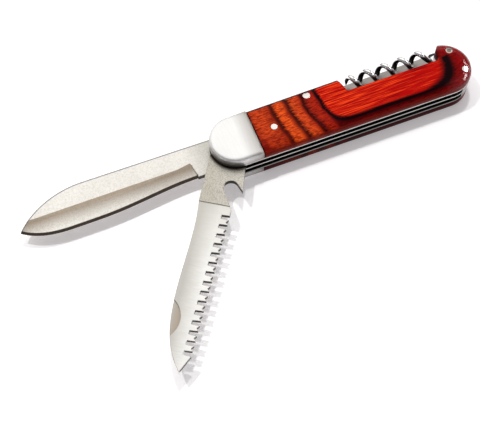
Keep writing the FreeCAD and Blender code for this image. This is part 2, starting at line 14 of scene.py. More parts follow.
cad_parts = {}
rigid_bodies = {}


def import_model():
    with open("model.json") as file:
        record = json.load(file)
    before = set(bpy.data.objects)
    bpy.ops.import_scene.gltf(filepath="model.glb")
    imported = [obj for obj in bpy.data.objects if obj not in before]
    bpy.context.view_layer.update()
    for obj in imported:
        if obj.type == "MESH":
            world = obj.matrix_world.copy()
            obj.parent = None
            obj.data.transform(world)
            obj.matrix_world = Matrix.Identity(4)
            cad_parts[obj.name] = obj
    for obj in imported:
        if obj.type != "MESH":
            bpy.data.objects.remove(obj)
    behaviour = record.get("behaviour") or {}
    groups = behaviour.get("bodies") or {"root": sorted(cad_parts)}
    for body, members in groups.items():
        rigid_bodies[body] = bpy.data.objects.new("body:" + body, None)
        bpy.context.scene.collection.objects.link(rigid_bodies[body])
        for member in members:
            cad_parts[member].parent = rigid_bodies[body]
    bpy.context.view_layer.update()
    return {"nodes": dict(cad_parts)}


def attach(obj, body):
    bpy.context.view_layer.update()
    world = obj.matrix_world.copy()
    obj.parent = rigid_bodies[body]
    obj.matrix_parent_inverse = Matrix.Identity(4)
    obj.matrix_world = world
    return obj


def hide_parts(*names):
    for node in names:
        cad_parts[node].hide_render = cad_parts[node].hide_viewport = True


for leftover in list(bpy.data.objects):
    bpy.data.objects.remove(leftover)
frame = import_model()
nodes = frame["nodes"]


def rounded(box):
    return [[round(part, 4) for part in corner] for corner in box]


# %% [markdown]
# The camera comes first, because every later judgement is made through it. The knife was
# photographed from above its edge side with a fairly long lens. A camera is placed by two
# points, where it stands and what it looks at, and `to_track_quat` turns its axes that way.

# %% Camera
camera_place = Vector((-0.07899, -0.20466, 0.40446))
looked_at = Vector((-0.00708, -0.02097, 0.0))
scene = bpy.context.scene
camera = bpy.data.objects.new("table_camera", bpy.data.cameras.new("table_camera"))
camera.location = camera_place
camera.rotation_euler = (looked_at - camera_place).to_track_quat("-Z", "Y").to_euler()
camera.data.sensor_width = 36.0
camera.data.lens = 86.43
camera.data.clip_start = 0.01
scene.collection.objects.link(camera)
scene.camera = camera
scene.view_settings.view_transform = "Standard"
print("camera is", round((looked_at - camera_place).length, 3), "m from the knife")

# %% [markdown]
# Materials are graphs of nodes, and a graph reads better when adding a node is one line. These
# helpers add a node, set or link its inputs, do arithmetic, draw a noise and mix colours. A
# value that is a socket is linked, and any other value is written into the socket.

# %% Helpers for node graphs
def feed(tree, socket, value):
    if isinstance(value, bpy.types.NodeSocket):
        tree.links.new(value, socket)
    else:
        socket.default_value = value


def add(tree, kind, settings=(), **inputs):
    node = tree.nodes.new("ShaderNode" + kind)
    for key, value in dict(settings).items():
        setattr(node, key, value)
    for key, value in inputs.items():
        feed(tree, node.inputs[key.replace("_", " ")], value)
    return node


def calc(tree, operation, *values):
    node = add(tree, "Math", {"operation": operation})
    for socket, value in zip(node.inputs, values):
        feed(tree, socket, value)
    return node.outputs[0]


def noise(tree, place, scale=1.0, detail=2.0, roughness=0.5):
    node = add(tree, "TexNoise", Vector=place, Scale=scale, Detail=detail, Roughness=roughness)
    return node.outputs["Fac"]


def mix_color(tree, share, first, second, blend="MIX"):
    node = add(tree, "Mix", {"data_type": "RGBA", "blend_type": blend})
    feed(tree, node.inputs["Factor"], share)
    feed(tree, node.inputs[6], first)
    feed(tree, node.inputs[7], second)
    return node.outputs[2]


print("helpers ready: feed, add, calc, noise and mix_color")

# %% [markdown]
# The knife lies on a plain white table. A table lit only by lamps would turn gray long before the
# knife is bright enough, and more lamps would bleach the steel. So the paint is matt white, and
# for rays that come from the camera or from a reflection the table adds a little light of its
# own. The shadow stays, because that light is too weak to fill it.

# %% Table
table_half = 6.0
table_drop = 0.0002
paint_dark = (0.80, 0.80, 0.815, 1)
paint_light = (0.84, 0.84, 0.85, 1)
glow_color = (1.0, 0.955, 0.975, 1)
glow_strength = 0.29


def table_finish():
    finish = bpy.data.materials.new("white_table")
    finish.use_nodes = True
    tree = finish.node_tree
    tree.nodes.clear()
    fleck = noise(tree, add(tree, "TexCoord").outputs["Object"], scale=3.0, detail=3.0)
    matt = add(tree, "BsdfDiffuse", Color=mix_color(tree, fleck, paint_dark, paint_light))
    ray = add(tree, "LightPath").outputs
    seen = calc(tree, "MAXIMUM", ray["Is Camera Ray"], ray["Is Glossy Ray"])
    seen = calc(tree, "MAXIMUM", seen, ray["Is Transmission Ray"])
    glow = add(tree, "Emission", Color=glow_color, Strength=calc(tree, "MULTIPLY", seen, glow_strength))
    both = add(tree, "AddShader")
    tree.links.new(matt.outputs[0], both.inputs[0])
    tree.links.new(glow.outputs[0], both.inputs[1])
    out = add(tree, "OutputMaterial")
    tree.links.new(both.outputs[0], out.inputs["Surface"])
    return finish


table_mesh = bpy.data.meshes.new("table")
table_signs = ((-1, -1), (1, -1), (1, 1), (-1, 1))
table_corners = [(x * table_half, y * table_half, -table_drop) for x, y in table_signs]
table_mesh.from_pydata(table_corners, [], [(0, 1, 2, 3)])
table_mesh.materials.append(table_finish())
table = bpy.data.objects.new("table", table_mesh)
scene.collection.objects.link(table)
print("table", 2 * table_half, "m wide")

# %% [markdown]
# Three lamps do different jobs. The window lamp stands behind the knife on its left, and the back
# lamp behind it on its right. Both are small, so each throws a fairly crisp shadow, pale where
# only one falls, as beside the saw, and darker where both fall, as along the handle. They are
# hidden from reflections, because a small lamp would show as a hard dot in satin steel. The
# strip lamp is the other way round: it is hidden from matt surfaces and only draws the long
# glint on the lacquer at the butt.

# %% Lamps
day_color = (1.0, 0.985, 0.97)
strip_color = (1.0, 0.98, 0.96)
pivot = (0.0, 0.0, 0.0)
butt_rim = (0.097, 0.0, 0.0)


def soft_lamp(name, place, aim, width, height, watts, color):
    lamp = bpy.data.lights.new(name, "AREA")
    lamp.shape = "ELLIPSE"
    lamp.size = width
    lamp.size_y = height
    lamp.energy = watts
    lamp.color = color
    stand = bpy.data.objects.new(name, lamp)
    stand.location = place
    stand.rotation_euler = (Vector(aim) - Vector(place)).to_track_quat("-Z", "Y").to_euler()
    scene.collection.objects.link(stand)
    return stand


window_lamp = soft_lamp("window_lamp", place=(-0.26, 0.26, 0.97), aim=pivot, width=0.04, height=0.04,
                        watts=3.7, color=day_color)
back_lamp = soft_lamp("back_lamp", place=(0.12, 0.30, 0.97), aim=pivot, width=0.07, height=0.07,
                      watts=3.3, color=day_color)
strip_lamp = soft_lamp("strip_lamp", place=(0.763, 0.056, 0.617), aim=butt_rim, width=0.70, height=0.12,
                       watts=3.4, color=strip_color)
for lamp in (window_lamp, back_lamp):
    lamp.visible_glossy = False
strip_lamp.visible_diffuse = False
print("lamps:", window_lamp.name, back_lamp.name, strip_lamp.name)

# %% [markdown]
# Polished steel has hardly any colour of its own and shows the room instead, so the room needs
# some shape. It could hold large white cards, but a world with a gradient is simpler and has no
# edges to mirror. It is bright behind the knife and dims towards the viewer, and that
# difference makes flat steel look pale and tilted steel look dark.

# %% Room
window_way = Vector((-0.10, 0.62, 0.78)).normalized()
room_stops = (
    (0.0, (0.36, 0.36, 0.38, 1)), (0.5, (0.28, 0.28, 0.30, 1)), (0.78, (0.15, 0.145, 0.14, 1)),
    (0.86, (0.34, 0.33, 0.32, 1)), (0.92, (1.02, 1.01, 0.99, 1)), (0.97, (1.30, 1.29, 1.27, 1)))


def vector_calc(tree, operation, *values):
    node = add(tree, "VectorMath", {"operation": operation})
    for socket, value in zip(node.inputs, values):
        feed(tree, socket, value)
    return node.outputs["Value" if operation in ("DOT_PRODUCT", "LENGTH") else "Vector"]


def remap(tree, value, low, high, to_low=0.0, to_high=1.0):
    node = add(tree, "MapRange", Value=value, From_Min=low, From_Max=high, To_Min=to_low, To_Max=to_high)
    return node.outputs["Result"]


def color_ramp(tree, value, stops):
    node = add(tree, "ValToRGB", Fac=value)
    ramp = node.color_ramp
    while len(ramp.elements) < len(stops):
        ramp.elements.new(0.5)
    for element, (position, color) in zip(ramp.elements, stops):
        element.position = position
        element.color = color
    return node.outputs["Color"]


def room():
    world = bpy.data.worlds.new("room")
    world.use_nodes = True
    tree = world.node_tree
    tree.nodes.clear()
    way = add(tree, "TexCoord").outputs["Generated"]
    toward_window = vector_calc(tree, "DOT_PRODUCT", way, window_way)
    wall = color_ramp(tree, remap(tree, toward_window, -1.0, 1.0), room_stops)
    light = add(tree, "Background", Color=wall, Strength=1.0)
    out = add(tree, "OutputWorld")
    tree.links.new(light.outputs[0], out.inputs["Surface"])
    return world


scene.world = room()
print("room with", len(room_stops), "tones from the viewer's side to the window")

# %% [markdown]
# Steel that was finished on a belt carries thousands of fine parallel scratches. Several pieces
# have them, each in its own direction, so the scratches are a node group with named sockets. It
# stretches one noise a long way along the belt's direction and adds a broad soft one for the
# cloudiness that handling leaves. It puts out a tone, a cloud and a height.

# %% Node group: belt scratches
fine_share = 0.6
coarse_share = 0.4
coarse_stretch = (0.6, 0.22, 0.22)
noise_middle = (0.3, 0.7)


def new_group(name, inputs, outputs):
    group = bpy.data.node_groups.new(name, "ShaderNodeTree")
    for label, kind, value in inputs:
        socket = group.interface.new_socket(label, in_out="INPUT", socket_type="NodeSocket" + kind)
        if value is not None:
            socket.default_value = value
    for label, kind in outputs:
        group.interface.new_socket(label, in_out="OUTPUT", socket_type="NodeSocket" + kind)
    entry = group.nodes.new("NodeGroupInput").outputs
    leave = group.nodes.new("NodeGroupOutput").inputs
    return group, entry, leave


def belt_scratches():
    group, entry, leave = new_group(
        "belt_scratches",
        (("Place", "Vector", None), ("Turn", "Vector", (0, 0, 0)), ("Stretch", "Vector", (40, 3000, 3000)),
         ("Cloud Size", "Float", 90.0)),
        (("Tone", "Float"), ("Cloud", "Float"), ("Height", "Float")))
    turned = add(group, "Mapping", Vector=entry["Place"], Rotation=entry["Turn"]).outputs[0]
    drawn = vector_calc(group, "MULTIPLY", turned, entry["Stretch"])
    fine = noise(group, drawn, detail=4.0, roughness=0.65)
    coarse = noise(group, vector_calc(group, "MULTIPLY", drawn, coarse_stretch))
    cloud = noise(group, entry["Place"], entry["Cloud Size"], detail=3.0)
    height = calc(group, "MULTIPLY_ADD", fine, fine_share, calc(group, "MULTIPLY", coarse, coarse_share))
    group.links.new(remap(group, height, *noise_middle), leave["Tone"])
    group.links.new(remap(group, cloud, *noise_middle), leave["Cloud"])
    group.links.new(height, leave["Height"])
    return group


scratches = belt_scratches()
print("group", scratches.name, "with", len(scratches.nodes), "nodes")

# %% [markdown]
# Edges meet pockets, tables and other steel, so they look unlike the faces beside them: satin
# steel is rubbed bright there, and a ground blade keeps a thin gray line. The Bevel node gives
# the normal that a rounded edge would have. Where that differs from the true normal there is an
# edge nearby, and a noise breaks the mask up as real wear is broken.

# %% Node group: edge wear
bevel_samples = 6
face_to_edge = (0.99, 0.80)
patch_fade = (0.25, 0.65)


def edge_wear():
    group, entry, leave = new_group(
        "edge_wear",
        (("Place", "Vector", None), ("Width", "Float", 0.0004), ("Patches", "Float", 400.0)),
        (("Mask", "Float"),))
    round_normal = add(group, "Bevel", {"samples": bevel_samples}, Radius=entry["Width"]).outputs[0]
    flat_normal = add(group, "NewGeometry").outputs["True Normal"]
    near = remap(group, vector_calc(group, "DOT_PRODUCT", round_normal, flat_normal), *face_to_edge)
    patch = remap(group, noise(group, entry["Place"], entry["Patches"], detail=3.0), *patch_fade)
    group.links.new(calc(group, "MULTIPLY", near, patch), leave["Mask"])
    return group


wear = edge_wear()
print("group", wear.name, "with", len(wear.nodes), "nodes")

# %% [markdown]
# All the steel starts from one recipe. The scratches choose between a dark and a light tone, the
# edges get a colour of their own, and the roughness follows the scratches, so that a lamp's
# reflection breaks up along them. A Bevel node eases the normal at the edges, which gives each
# arris the thin line of light that a real one has, without any change to the mesh. The recipe
# hands back its colour, so that a piece can add what is its own. The springs and the plain pins
# take it as it is.

# %% Steel recipe
cloud_tone = 0.10
cloud_rub = 0.06
scratch_rub = (-0.05, 0.07)
scratch_depth = 0.00002


def start_finish(name):
    finish = bpy.data.materials.new(name)
    finish.use_nodes = True
    tree = finish.node_tree
    shader = tree.nodes["Principled BSDF"]
    place = add(tree, "TexCoord").outputs["Object"]
    return finish, tree, shader, place


def use_group(tree, group, **inputs):
    node = tree.nodes.new("ShaderNodeGroup")
    node.node_tree = group
    for key, value in inputs.items():
        feed(tree, node.inputs[key.replace("_", " ")], value)
    return node.outputs


def steel(name, dark, light, edge_color, turn, stretch, rough, bump, edge_width=0.0003, easing=0.0002):
    """Brushed steel; returns what a piece may still change: its colour and its shader."""
    finish, tree, shader, place = start_finish(name)
    lines = use_group(tree, scratches, Place=place, Turn=turn, Stretch=stretch)
    worn = use_group(tree, wear, Place=place, Width=edge_width)["Mask"]
    face = mix_color(tree, lines["Tone"], dark, light)
    face = mix_color(tree, calc(tree, "MULTIPLY", lines["Cloud"], cloud_tone), face, dark)
    color = mix_color(tree, worn, face, edge_color)
    shader.inputs["Metallic"].default_value = 1.0
    feed(tree, shader.inputs["Base Color"], color)
    rub = remap(tree, lines["Tone"], 0.0, 1.0, *(rough + shift for shift in scratch_rub))
    rub = calc(tree, "MULTIPLY_ADD", lines["Cloud"], cloud_rub, rub)
    feed(tree, shader.inputs["Roughness"], rub)
    eased = add(tree, "Bevel", {"samples": bevel_samples}, Radius=easing).outputs[0]
    dent = add(tree, "Bump", Strength=bump, Distance=scratch_depth, Height=lines["Height"], Normal=eased)
    tree.links.new(dent.outputs[0], shader.inputs["Normal"])
    return finish, tree, shader, place, color


unturned = (0.0, 0.0, 0.0)
spring_satin = steel("spring_satin", dark=(0.29, 0.27, 0.255, 1), light=(0.44, 0.41, 0.39, 1),
                     edge_color=(0.7, 0.69, 0.67, 1), turn=unturned, stretch=(80, 4000, 4000),
                     rough=0.34, bump=0.25)[0]
pin_bright = steel("pin_bright", dark=(0.74, 0.70, 0.67, 1), light=(0.86, 0.82, 0.79, 1),
                   edge_color=(0.92, 0.90, 0.88, 1), turn=unturned, stretch=(600, 3000, 3000),
                   rough=0.20, bump=0.15, edge_width=0.0002)[0]
print("steel finishes:", spring_satin.name, pin_bright.name)

# %% [markdown]
# The head of the corkscrew's pin was hammered dull in the middle and kept a bright rim. A ring
# could be cut into the mesh, but the head is under three millimetres wide, so a mask is enough: how
# far a point lies from the pin's axis chooses between the two tones.

# %% Corkscrew pin finish
pin_center = Vector((0.094899, 0.008399, 0.0))
pin_rim = (0.0008, 0.0012)
rim_color = (0.62, 0.58, 0.55, 1)


def flat_distance(tree, place, center):
    """How far a point lies from an upright axis."""
    flat = vector_calc(tree, "MULTIPLY", vector_calc(tree, "SUBTRACT", place, center), (1, 1, 0))
    return vector_calc(tree, "LENGTH", flat)


def dull_pin_finish():
    finish, tree, shader, place, color = steel(
        "pin_dull", dark=(0.20, 0.15, 0.13, 1), light=(0.34, 0.27, 0.24, 1),
        edge_color=(0.5, 0.47, 0.45, 1), turn=unturned, stretch=(900, 1600, 1600), rough=0.30, bump=0.4,
        edge_width=0.0002)
    rim = remap(tree, flat_distance(tree, place, pin_center), *pin_rim)
    feed(tree, shader.inputs["Base Color"], mix_color(tree, rim, color, rim_color))
    return finish


pin_dull = dull_pin_finish()
print("pin finish:", pin_dull.name)

# %% [markdown]
# The bolsters are cast caps, rubbed on a soft wheel until their edges nearly vanish. A wide easing
# of the normal does that better than a painted gradient, because it follows the light. Painted
# shade makes the steel grayer towards the joint with the wood, and makes the wall that runs
# down to the liners darker than the face.

# %% Bolster finish
across = (0.0, 0.0, math.radians(90))
joint_fade = (0.0015, 0.0080)
joint_share = 0.9
joint_shade_gray = (0.52, 0.48, 0.45, 1)
wall_fade = (0.7, 0.1)
wall_shade_gray = (0.66, 0.65, 0.64, 1)


def parts(tree, vector):
    return add(tree, "SeparateXYZ", Vector=vector).outputs


def times(tree, first, *others):
    """Product of masks: what is left where all of them hold."""
    for other in others:
        first = calc(tree, "MULTIPLY", first, other)
    return first


def tint(tree, share, color, by):
    """A colour multiplied by another, where the share says so."""
    return mix_color(tree, share, color, mix_color(tree, 1.0, color, by, "MULTIPLY"))


def own_normal(tree):
    """The way the surface faces, in the knife's own axes."""
    return add(tree, "TexCoord").outputs["Normal"]


def facing_up(tree):
    """How far the surface faces up or down, from 0 to 1."""
    return calc(tree, "ABSOLUTE", parts(tree, own_normal(tree))["Z"])


def bolster_finish():
    finish, tree, shader, place, color = steel(
        "bolster_satin", dark=(0.86, 0.86, 0.85, 1), light=(0.97, 0.97, 0.965, 1),
        edge_color=(0.97, 0.97, 0.97, 1), turn=across, stretch=(300, 5000, 5000), rough=0.38, bump=0.25,
        edge_width=0.0005, easing=0.002)
    # Painted shade: grayer towards the joint with the wood.
    toward_joint = times(tree, remap(tree, parts(tree, place)["X"], *joint_fade), joint_share)
    color = tint(tree, toward_joint, color, joint_shade_gray)
    # Painted shade on the wall that runs down to the liners.
    wall = remap(tree, facing_up(tree), *wall_fade)
    feed(tree, shader.inputs["Base Color"], tint(tree, wall, color, wall_shade_gray))
    return finish


bolster_satin = bolster_finish()
print("bolster finish:", bolster_satin.name)

# %% [markdown]
# The liners are three sheets whose edges were ground flush with the handle. Each edge is bright in
# the middle and gets painted shade at its seams, where the layers meet, and painted shade makes
# the lowest sheet the dullest. The faces get painted shade, dark in the slots. How far a surface
# faces up tells face from edge, and the height above the table tells how near the seam is, so
# one finish serves all three sheets.

# %% Liner finish
lowest_middle = 0.00445
sheet_spacing = 0.0033
seam_fade = (0.00016, 0.00034)
seam_share = 0.92
seam_shade_color = (0.05, 0.045, 0.04, 1)
lowest_fade = (0.0056, 0.0052)
lowest_shade_share = 0.55
face_tilt = 0.9
slot_face_shade = (0.10, 0.09, 0.085, 1)


def liner_finish():
    finish, tree, shader, place, color = steel(
        "liner_sheet", dark=(0.62, 0.61, 0.59, 1), light=(0.84, 0.83, 0.81, 1),
        edge_color=(0.9, 0.9, 0.9, 1), turn=unturned, stretch=(60, 5000, 5000), rough=0.30, bump=0.2)
    # Painted shade on the faces, which lie in the slots.
    color = tint(tree, calc(tree, "GREATER_THAN", facing_up(tree), face_tilt), color, slot_face_shade)
    height = parts(tree, place)["Z"]
    # Painted shade: dark at the seams between the sheets, and more over the lowest sheet.
    off_middle = calc(tree, "PINGPONG", calc(tree, "SUBTRACT", height, lowest_middle), sheet_spacing / 2)
    seam = remap(tree, off_middle, *seam_fade)
    seam = calc(tree, "MAXIMUM", seam, remap(tree, height, *lowest_fade, 0.0, lowest_shade_share))
    color = mix_color(tree, times(tree, seam, seam_share), color, seam_shade_color)
    feed(tree, shader.inputs["Base Color"], color)
    return finish


liner_sheet = liner_finish()
print("liner finish:", liner_sheet.name)

# %% [markdown]
# The main blade is one bar of steel with several finishes on it, and each needs a mask. How far
# the surface tilts tells the bevels and the whetted edge from the flats. The belt that ground
# the bevels stopped at a straight line, so a height marks where their band of painted tan shade
# begins. The back keeps a thin gray line, and the distance from it is worked out from the straight
# and the bend that draw the blade's back.

# %% Blade: masks for its bevels, its kick and its back
bevel_tilt = 0.9975
whet_tilt = 0.965
wall_tilt = 0.3
belt_line = 0.00135
belt_end = -0.0186
bend_center = Vector((-0.0615, -0.02865, 0.0))
bend_radius = 0.03845
back_slope = 0.0088
arris_fade = (0.0006, 0.0002)
arris_share = 0.85


def below(tree, value, limit):
    return calc(tree, "LESS_THAN", value, limit)


def above(tree, value, limit):
    return calc(tree, "GREATER_THAN", value, limit)


def bevel_mask(tree, along, fall, upright):
    # The painted tan shade of the bevels reaches up to this straight line.
    belted = times(tree, below(tree, fall, belt_line), below(tree, along, belt_end))
    return calc(tree, "MAXIMUM", belted, below(tree, upright, bevel_tilt))


def kick_shade_mask(tree, along, fall, upright):
    """Painted shade on the wall under the unsharpened root."""
    low_wall = times(tree, below(tree, upright, wall_tilt), below(tree, fall, 0.0))
    return times(tree, low_wall, above(tree, along, belt_end))


def back_mask(tree, place):
    """The arris of the back, which is straight and then bends down to the point."""
    at = parts(tree, vector_calc(tree, "SUBTRACT", place, bend_center))
    in_bend = calc(tree, "MINIMUM", at["X"], 0.0)
    before_bend = calc(tree, "MAXIMUM", at["X"], 0.0)
    reach = vector_calc(tree, "LENGTH", add(tree, "CombineXYZ", X=in_bend, Y=at["Y"]).outputs[0])
    back = calc(tree, "MULTIPLY_ADD", before_bend, -back_slope, bend_radius)
    return times(tree, remap(tree, calc(tree, "SUBTRACT", back, reach), *arris_fade), arris_share)


print("back bends down", round(-bend_center.x * 1000, 1), "mm from the pivot")

# %% [markdown]
# With the masks ready, the finish is laid on as the blade was made. The flats are pale with a fine
# grain, and the steel gets grayer towards the root. The bevels get painted shade, tan at the top,
# and painted light below, where they meet the light. The whetted edge gets a painted dark
# reflection, and the wall under the root gets painted shade.
# Colours are mixed one over the other, like coats of paint, so the last one is on top.

# %% Blade finish
bevel_fade = (0.0, -0.0055)
bevel_shade_tan = (0.44, 0.37, 0.30, 1)
bevel_light_bright = (1.0, 0.985, 0.95, 1)
bevel_share = 0.5
whet_dark_reflection = (0.16, 0.125, 0.10, 1)
root_fade = (-0.020, -0.011)
root_share = 0.75
root_gray = (0.52, 0.51, 0.46, 1)
grain_size = 2000.0
grain_fade = (0.42, 0.66)
grain_tone = (0.86, 0.84, 0.83, 1)
kick_shade_color = (0.03, 0.025, 0.02, 1)
arris_gray = (0.16, 0.16, 0.17, 1)


def blade_finish():
    finish, tree, shader, place, color = steel(
        "blade_ground", dark=(0.78, 0.755, 0.71, 1), light=(0.90, 0.88, 0.84, 1),
        edge_color=(0.12, 0.115, 0.12, 1), turn=(0, 0, math.radians(80)), stretch=(500, 4200, 4200),
        rough=0.33, bump=0.25, edge_width=0.0009)
    upright = facing_up(tree)
    along, fall = parts(tree, place)[:2]
    # Painted shade, tan at the top of the bevels, and painted light below.
    tan = mix_color(tree, remap(tree, fall, *bevel_fade), bevel_shade_tan, bevel_light_bright)
    ground = tint(tree, bevel_share, tan, color)
    color = mix_color(tree, bevel_mask(tree, along, fall, upright), color, ground)
    # Painted dark reflection on the whetted edge.
    color = mix_color(tree, below(tree, upright, whet_tilt), color, whet_dark_reflection)
    color = mix_color(tree, times(tree, remap(tree, along, *root_fade), root_share), color, root_gray)
    grain = remap(tree, noise(tree, place, grain_size), *grain_fade)
    color = tint(tree, grain, color, grain_tone)
    # Painted shade on the wall under the root.
    color = mix_color(tree, kick_shade_mask(tree, along, fall, upright), color, kick_shade_color)
    color = mix_color(tree, back_mask(tree, place), color, arris_gray)
    feed(tree, shader.inputs["Base Color"], color)
    return finish


blade_ground = blade_finish()
print("blade finish with", len(blade_ground.node_tree.nodes), "nodes")

# %% [markdown]
# The saw is brushed across and ground thinner towards its back, which leaves the back grayer. Its
# nail nick and the walls of its gullets get painted shade, and both need a mask.
# The masks take two lengths, one along the saw from the pivot and one across it towards the
# back. Both are the saw's own, so the marks stay with it when it folds.

# %% Saw: masks for its nick and its gullets
nick_floor = 0.0101
nick_width = 0.004
nick_length = 0.05
nick_fade = (0.0055, 0.0095, 0.85, 0.25)
tooth_width = 0.0015


def nick_shade_mask(tree, place, length, width):
    """Painted shade on the floor of the nail nick, darkest on its side towards the teeth."""
    sunk = below(tree, parts(tree, place)["Z"], nick_floor)
    beside_back = times(tree, above(tree, width, nick_width), above(tree, length, nick_length))
    return times(tree, sunk, beside_back, remap(tree, width, *nick_fade))


def gullet_shade_mask(tree, width):
    """Painted shade on the upright walls among the teeth."""
    return times(tree, below(tree, facing_up(tree), wall_tilt), below(tree, width, tooth_width))


print("floor of the nick lies under", round(nick_floor * 1000, 1), "mm")

# %% [markdown]
# Now the saw's coats: gray at the back and in its upper part, then the root, which was never
# brushed and stays dull and speckled as it came from the rolling mill, the painted shadow where it
# goes under the bolster, the painted shade in the brown nick and on the dark gullet walls. The
# directions along and across the saw are two fixed vectors, and a dot product with each of them
# gives the two lengths. The painted shadow is a round about the bolster's centre.

# %% Saw finish
saw_along = Vector((-0.5476, -0.8368, 0.0))
saw_across = Vector((-0.8368, 0.5476, 0.0))
back_fade = (0.001, 0.008)
back_share = 0.65
back_gray = (0.40, 0.38, 0.34, 1)
upper_fade = (0.050, 0.026)
upper_share = 0.4
upper_gray = (0.55, 0.53, 0.48, 1)
root_end = 0.0253
mill_share = 0.70
mill_gray = (0.56, 0.525, 0.45, 1)
speck_size = 2600.0
speck_fade = (0.45, 0.70)
speck_share = 0.6
speck_color = (0.22, 0.19, 0.145, 1)
bolster_center = Vector((0.0, 0.0019, 0.0))
bolster_shade = (0.0118, 0.0108)
shade_color = (0.035, 0.028, 0.022, 1)
nick_shade_color = (0.34, 0.25, 0.17, 1)
gullet_shade_color = (0.03, 0.024, 0.02, 1)


def saw_finish():
    finish, tree, shader, place, color = steel(
        "saw_brushed", dark=(0.78, 0.77, 0.74, 1), light=(1.0, 0.99, 0.97, 1),
        edge_color=(0.26, 0.25, 0.24, 1), turn=(0, 0, math.radians(33.2)), stretch=(260, 1900, 1900),
        rough=0.33, bump=0.3, edge_width=0.0006)
    width = vector_calc(tree, "DOT_PRODUCT", place, saw_across)
    length = vector_calc(tree, "DOT_PRODUCT", place, saw_along)
    color = mix_color(tree, times(tree, remap(tree, width, *back_fade), back_share), color, back_gray)
    color = mix_color(tree, times(tree, remap(tree, length, *upper_fade), upper_share), color, upper_gray)
    root = below(tree, length, root_end)
    color = mix_color(tree, times(tree, root, mill_share), color, mill_gray)
    speck = remap(tree, noise(tree, place, speck_size, detail=3.0), *speck_fade)
    color = mix_color(tree, times(tree, root, speck, speck_share), color, speck_color)
    # Painted shadow where the root goes under the bolster.
    shade = remap(tree, flat_distance(tree, place, bolster_center), *bolster_shade)
    color = mix_color(tree, shade, color, shade_color)
    # Painted shade in the nail nick.
    color = mix_color(tree, nick_shade_mask(tree, place, length, width), color, nick_shade_color)
    # Painted shade on the walls of the gullets.
    color = mix_color(tree, gullet_shade_mask(tree, width), color, gullet_shade_color)
    feed(tree, shader.inputs["Base Color"], color)
    return finish


saw_brushed = saw_finish()
print("saw finish with", len(saw_brushed.node_tree.nodes), "nodes")

# %% [markdown]
# The scales are made of many thin dyed veneers glued under pressure. Where the maker grinds the
# slab to shape, the grinding cuts through the veneers at a shallow angle and dark glue lines
# appear as contours: four across the slope near the bolster, and one that runs round the long
# red heart of the scale. Two measures give all of them. One counts millimetres along the handle
# on bent lines, and the other is the depth outside the heart, whose three sides are joined by a
# smooth maximum that rounds its corners. A noise drawn out along the handle makes the fibres.

# %% Wood: where the veneers come to the surface
back_height = 11.0
drift_size = 0.15
drift_reach = 1.6
ragged_reach = 2.8
curl_range = (18.0, 36.0, 0.0068, 0.0118)
front_rounding = 9.0
butt_rounding = 18.0


def swing(tree, share, reach):
    """A noise between 0 and 1, turned into a shift of half the reach either way."""
    return calc(tree, "MULTIPLY_ADD", share, reach, -reach / 2)


def veneer_place(group, place, fibre):
    """Millimetres along the handle, on lines that curl to the butt as they go down."""
    at = parts(group, place)
    drift = noise(group, place, drift_size, detail=1.0)
    shift = calc(group, "ADD", swing(group, drift, drift_reach), swing(group, fibre, ragged_reach))
    fall = calc(group, "SUBTRACT", back_height, at["Y"])
    bend = times(group, fall, fall, remap(group, at["X"], *curl_range))
    return calc(group, "ADD", calc(group, "SUBTRACT", at["X"], bend), shift)


def heart_depth(group, place, along, entry):
    """Millimetres outside the red heart of the scale, less than zero inside it."""
    at = parts(group, place)
    before = calc(group, "SUBTRACT", entry["First Line"], along)
    under = calc(group, "SUBTRACT", entry["Low Line"], at["Y"])
    behind = calc(group, "SUBTRACT", at["X"], entry["Butt Line"])
    front_corner = calc(group, "SMOOTH_MAX", before, under, front_rounding)
    return calc(group, "SMOOTH_MAX", front_corner, behind, butt_rounding)


print("veneer lines wander by", drift_reach, "mm and fray by", ragged_reach, "mm")

# %% [markdown]
# The two measures become colours through ramps. Each stop says at which millimetre a veneer's
# colour stands, counted from the front of the heart on the slope, and from the heart's rim on
# the skirt. Dyes are easier to choose as screen colours, from 0 to 255, so a helper turns those
# into the linear light that shaders use.

# %% Wood: the veneers' colours
def srgb(red, green, blue):
    """A screen colour, from 0 to 255, turned into the linear light that shaders use."""
    def linear(part):
        share = part / 255
        return share / 12.92 if share <= 0.04045 else ((share + 0.055) / 1.055) ** 2.4
    return (linear(red), linear(green), linear(blue), 1.0)


slope_stops = (
    (-28.6, srgb(140, 36, 18)), (-27.0, srgb(182, 58, 22)), (-23.0, srgb(190, 62, 24)),
    (-20.2, srgb(160, 46, 18)), (-19.3, srgb(82, 17, 7)), (-18.4, srgb(70, 14, 6)),
    (-17.1, srgb(206, 72, 24)), (-14.6, srgb(216, 78, 26)), (-13.5, srgb(160, 48, 18)),
    (-12.7, srgb(74, 18, 10)), (-12.0, srgb(78, 20, 10)), (-10.4, srgb(196, 66, 25)),
    (-8.2, srgb(200, 66, 26)), (-7.1, srgb(150, 38, 16)), (-6.5, srgb(54, 6, 4)),
    (-5.8, srgb(70, 10, 8)), (-4.2, srgb(158, 34, 16)), (-1.6, srgb(156, 30, 14)),
    (-0.6, srgb(104, 13, 10)), (0.4, srgb(74, 5, 8)))
skirt_stops = (
    (0.3, srgb(54, 2, 5)), (1.2, srgb(72, 4, 6)), (2.0, srgb(112, 6, 8)), (4.0, srgb(138, 5, 8)))


def ramp_over(group, value, stops):
    """A colour ramp whose stops are given in the value's own unit."""
    first, last = stops[0][0], stops[-1][0]
    shares = [((mark - first) / (last - first), color) for mark, color in stops]
    return color_ramp(group, remap(group, value, first, last), shares)


print("wood with", len(slope_stops) + len(skirt_stops), "veneer colours")

# %% [markdown]
# Outside the heart, the slope near the bolster and the skirt round the heart turn into each other.
# A dark knot and a red blush sit by the bolster, and short fibres stipple everything. The
# shoulder above the heart at the butt is all skirt, because the corkscrew's notch cuts the
# heart off there.

